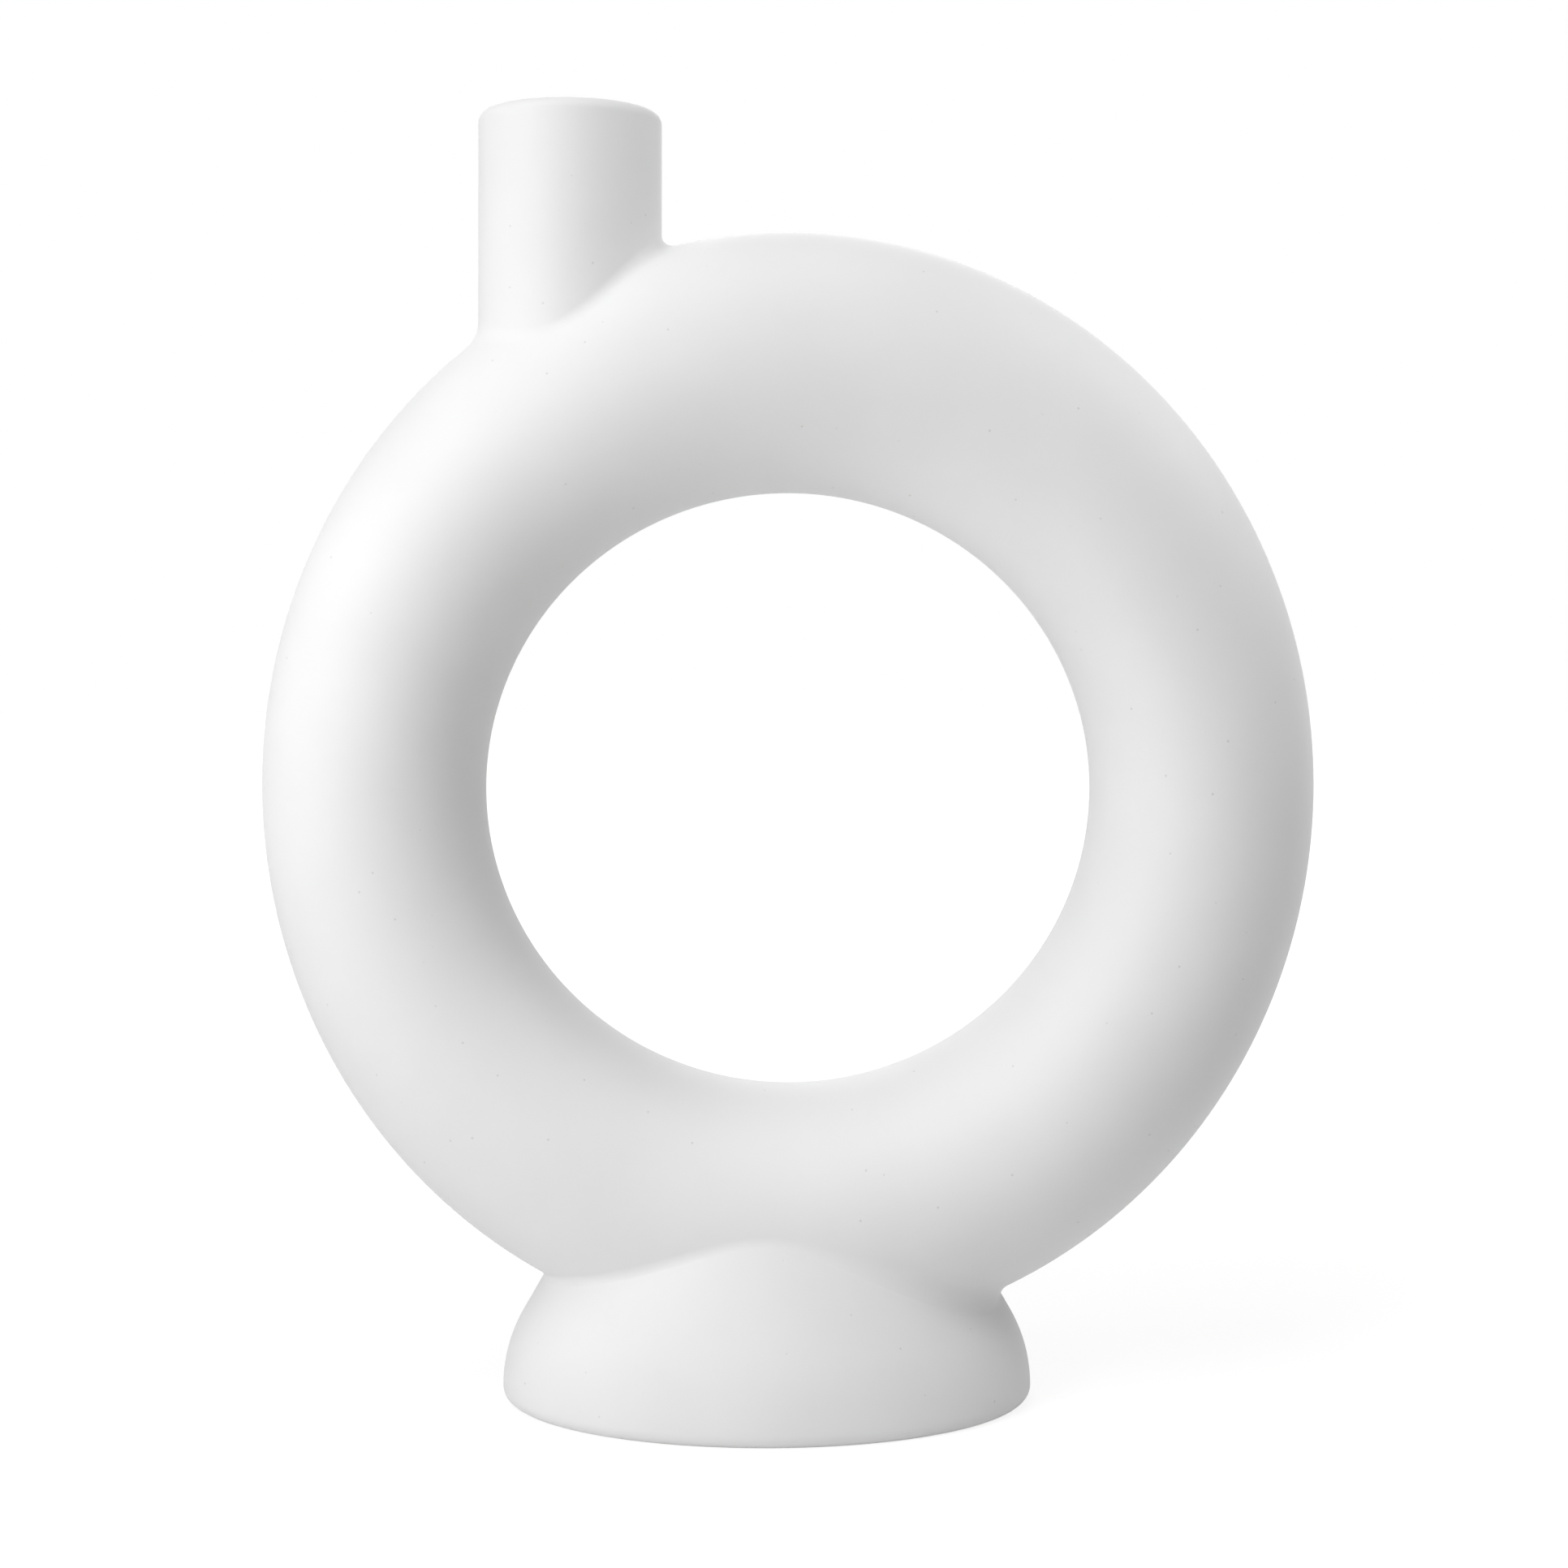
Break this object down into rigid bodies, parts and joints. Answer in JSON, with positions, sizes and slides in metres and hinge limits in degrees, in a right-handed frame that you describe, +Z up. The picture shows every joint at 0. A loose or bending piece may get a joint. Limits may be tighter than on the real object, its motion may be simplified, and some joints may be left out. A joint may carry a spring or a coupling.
{
  "type": "donut vase",
  "caption": "Upright hollow ceramic ring on an oval flared foot, with a straight round neck rising off-centre from its shoulder; holds a few stems or dried flowers.",
  "frame": {"origin": "on the table, at the middle of the bottom of the vase's box, under the middle of the ring", "axes": "+Z up, +X to the right of the pictured view, front towards -Y"},
  "size_m": [0.2, 0.064, 0.2448],
  "materials": {
    "ring_ceramic": "fine matt white glaze on pressed stoneware",
    "neck_ceramic": "fine matt white glaze on thrown stoneware",
    "foot_ceramic": "fine matt white glaze, bare on the rim it stands on",
    "luting_ceramic": "fine matt white glaze on smoothed clay"
  },
  "bodies": {
    "root": {"ring_front_half": "ring_ceramic", "ring_back_half": "ring_ceramic", "neck": "neck_ceramic", "foot": "foot_ceramic", "neck_luting_coil": "luting_ceramic", "foot_luting_coil": "luting_ceramic"}
  },
  "joints": []
}
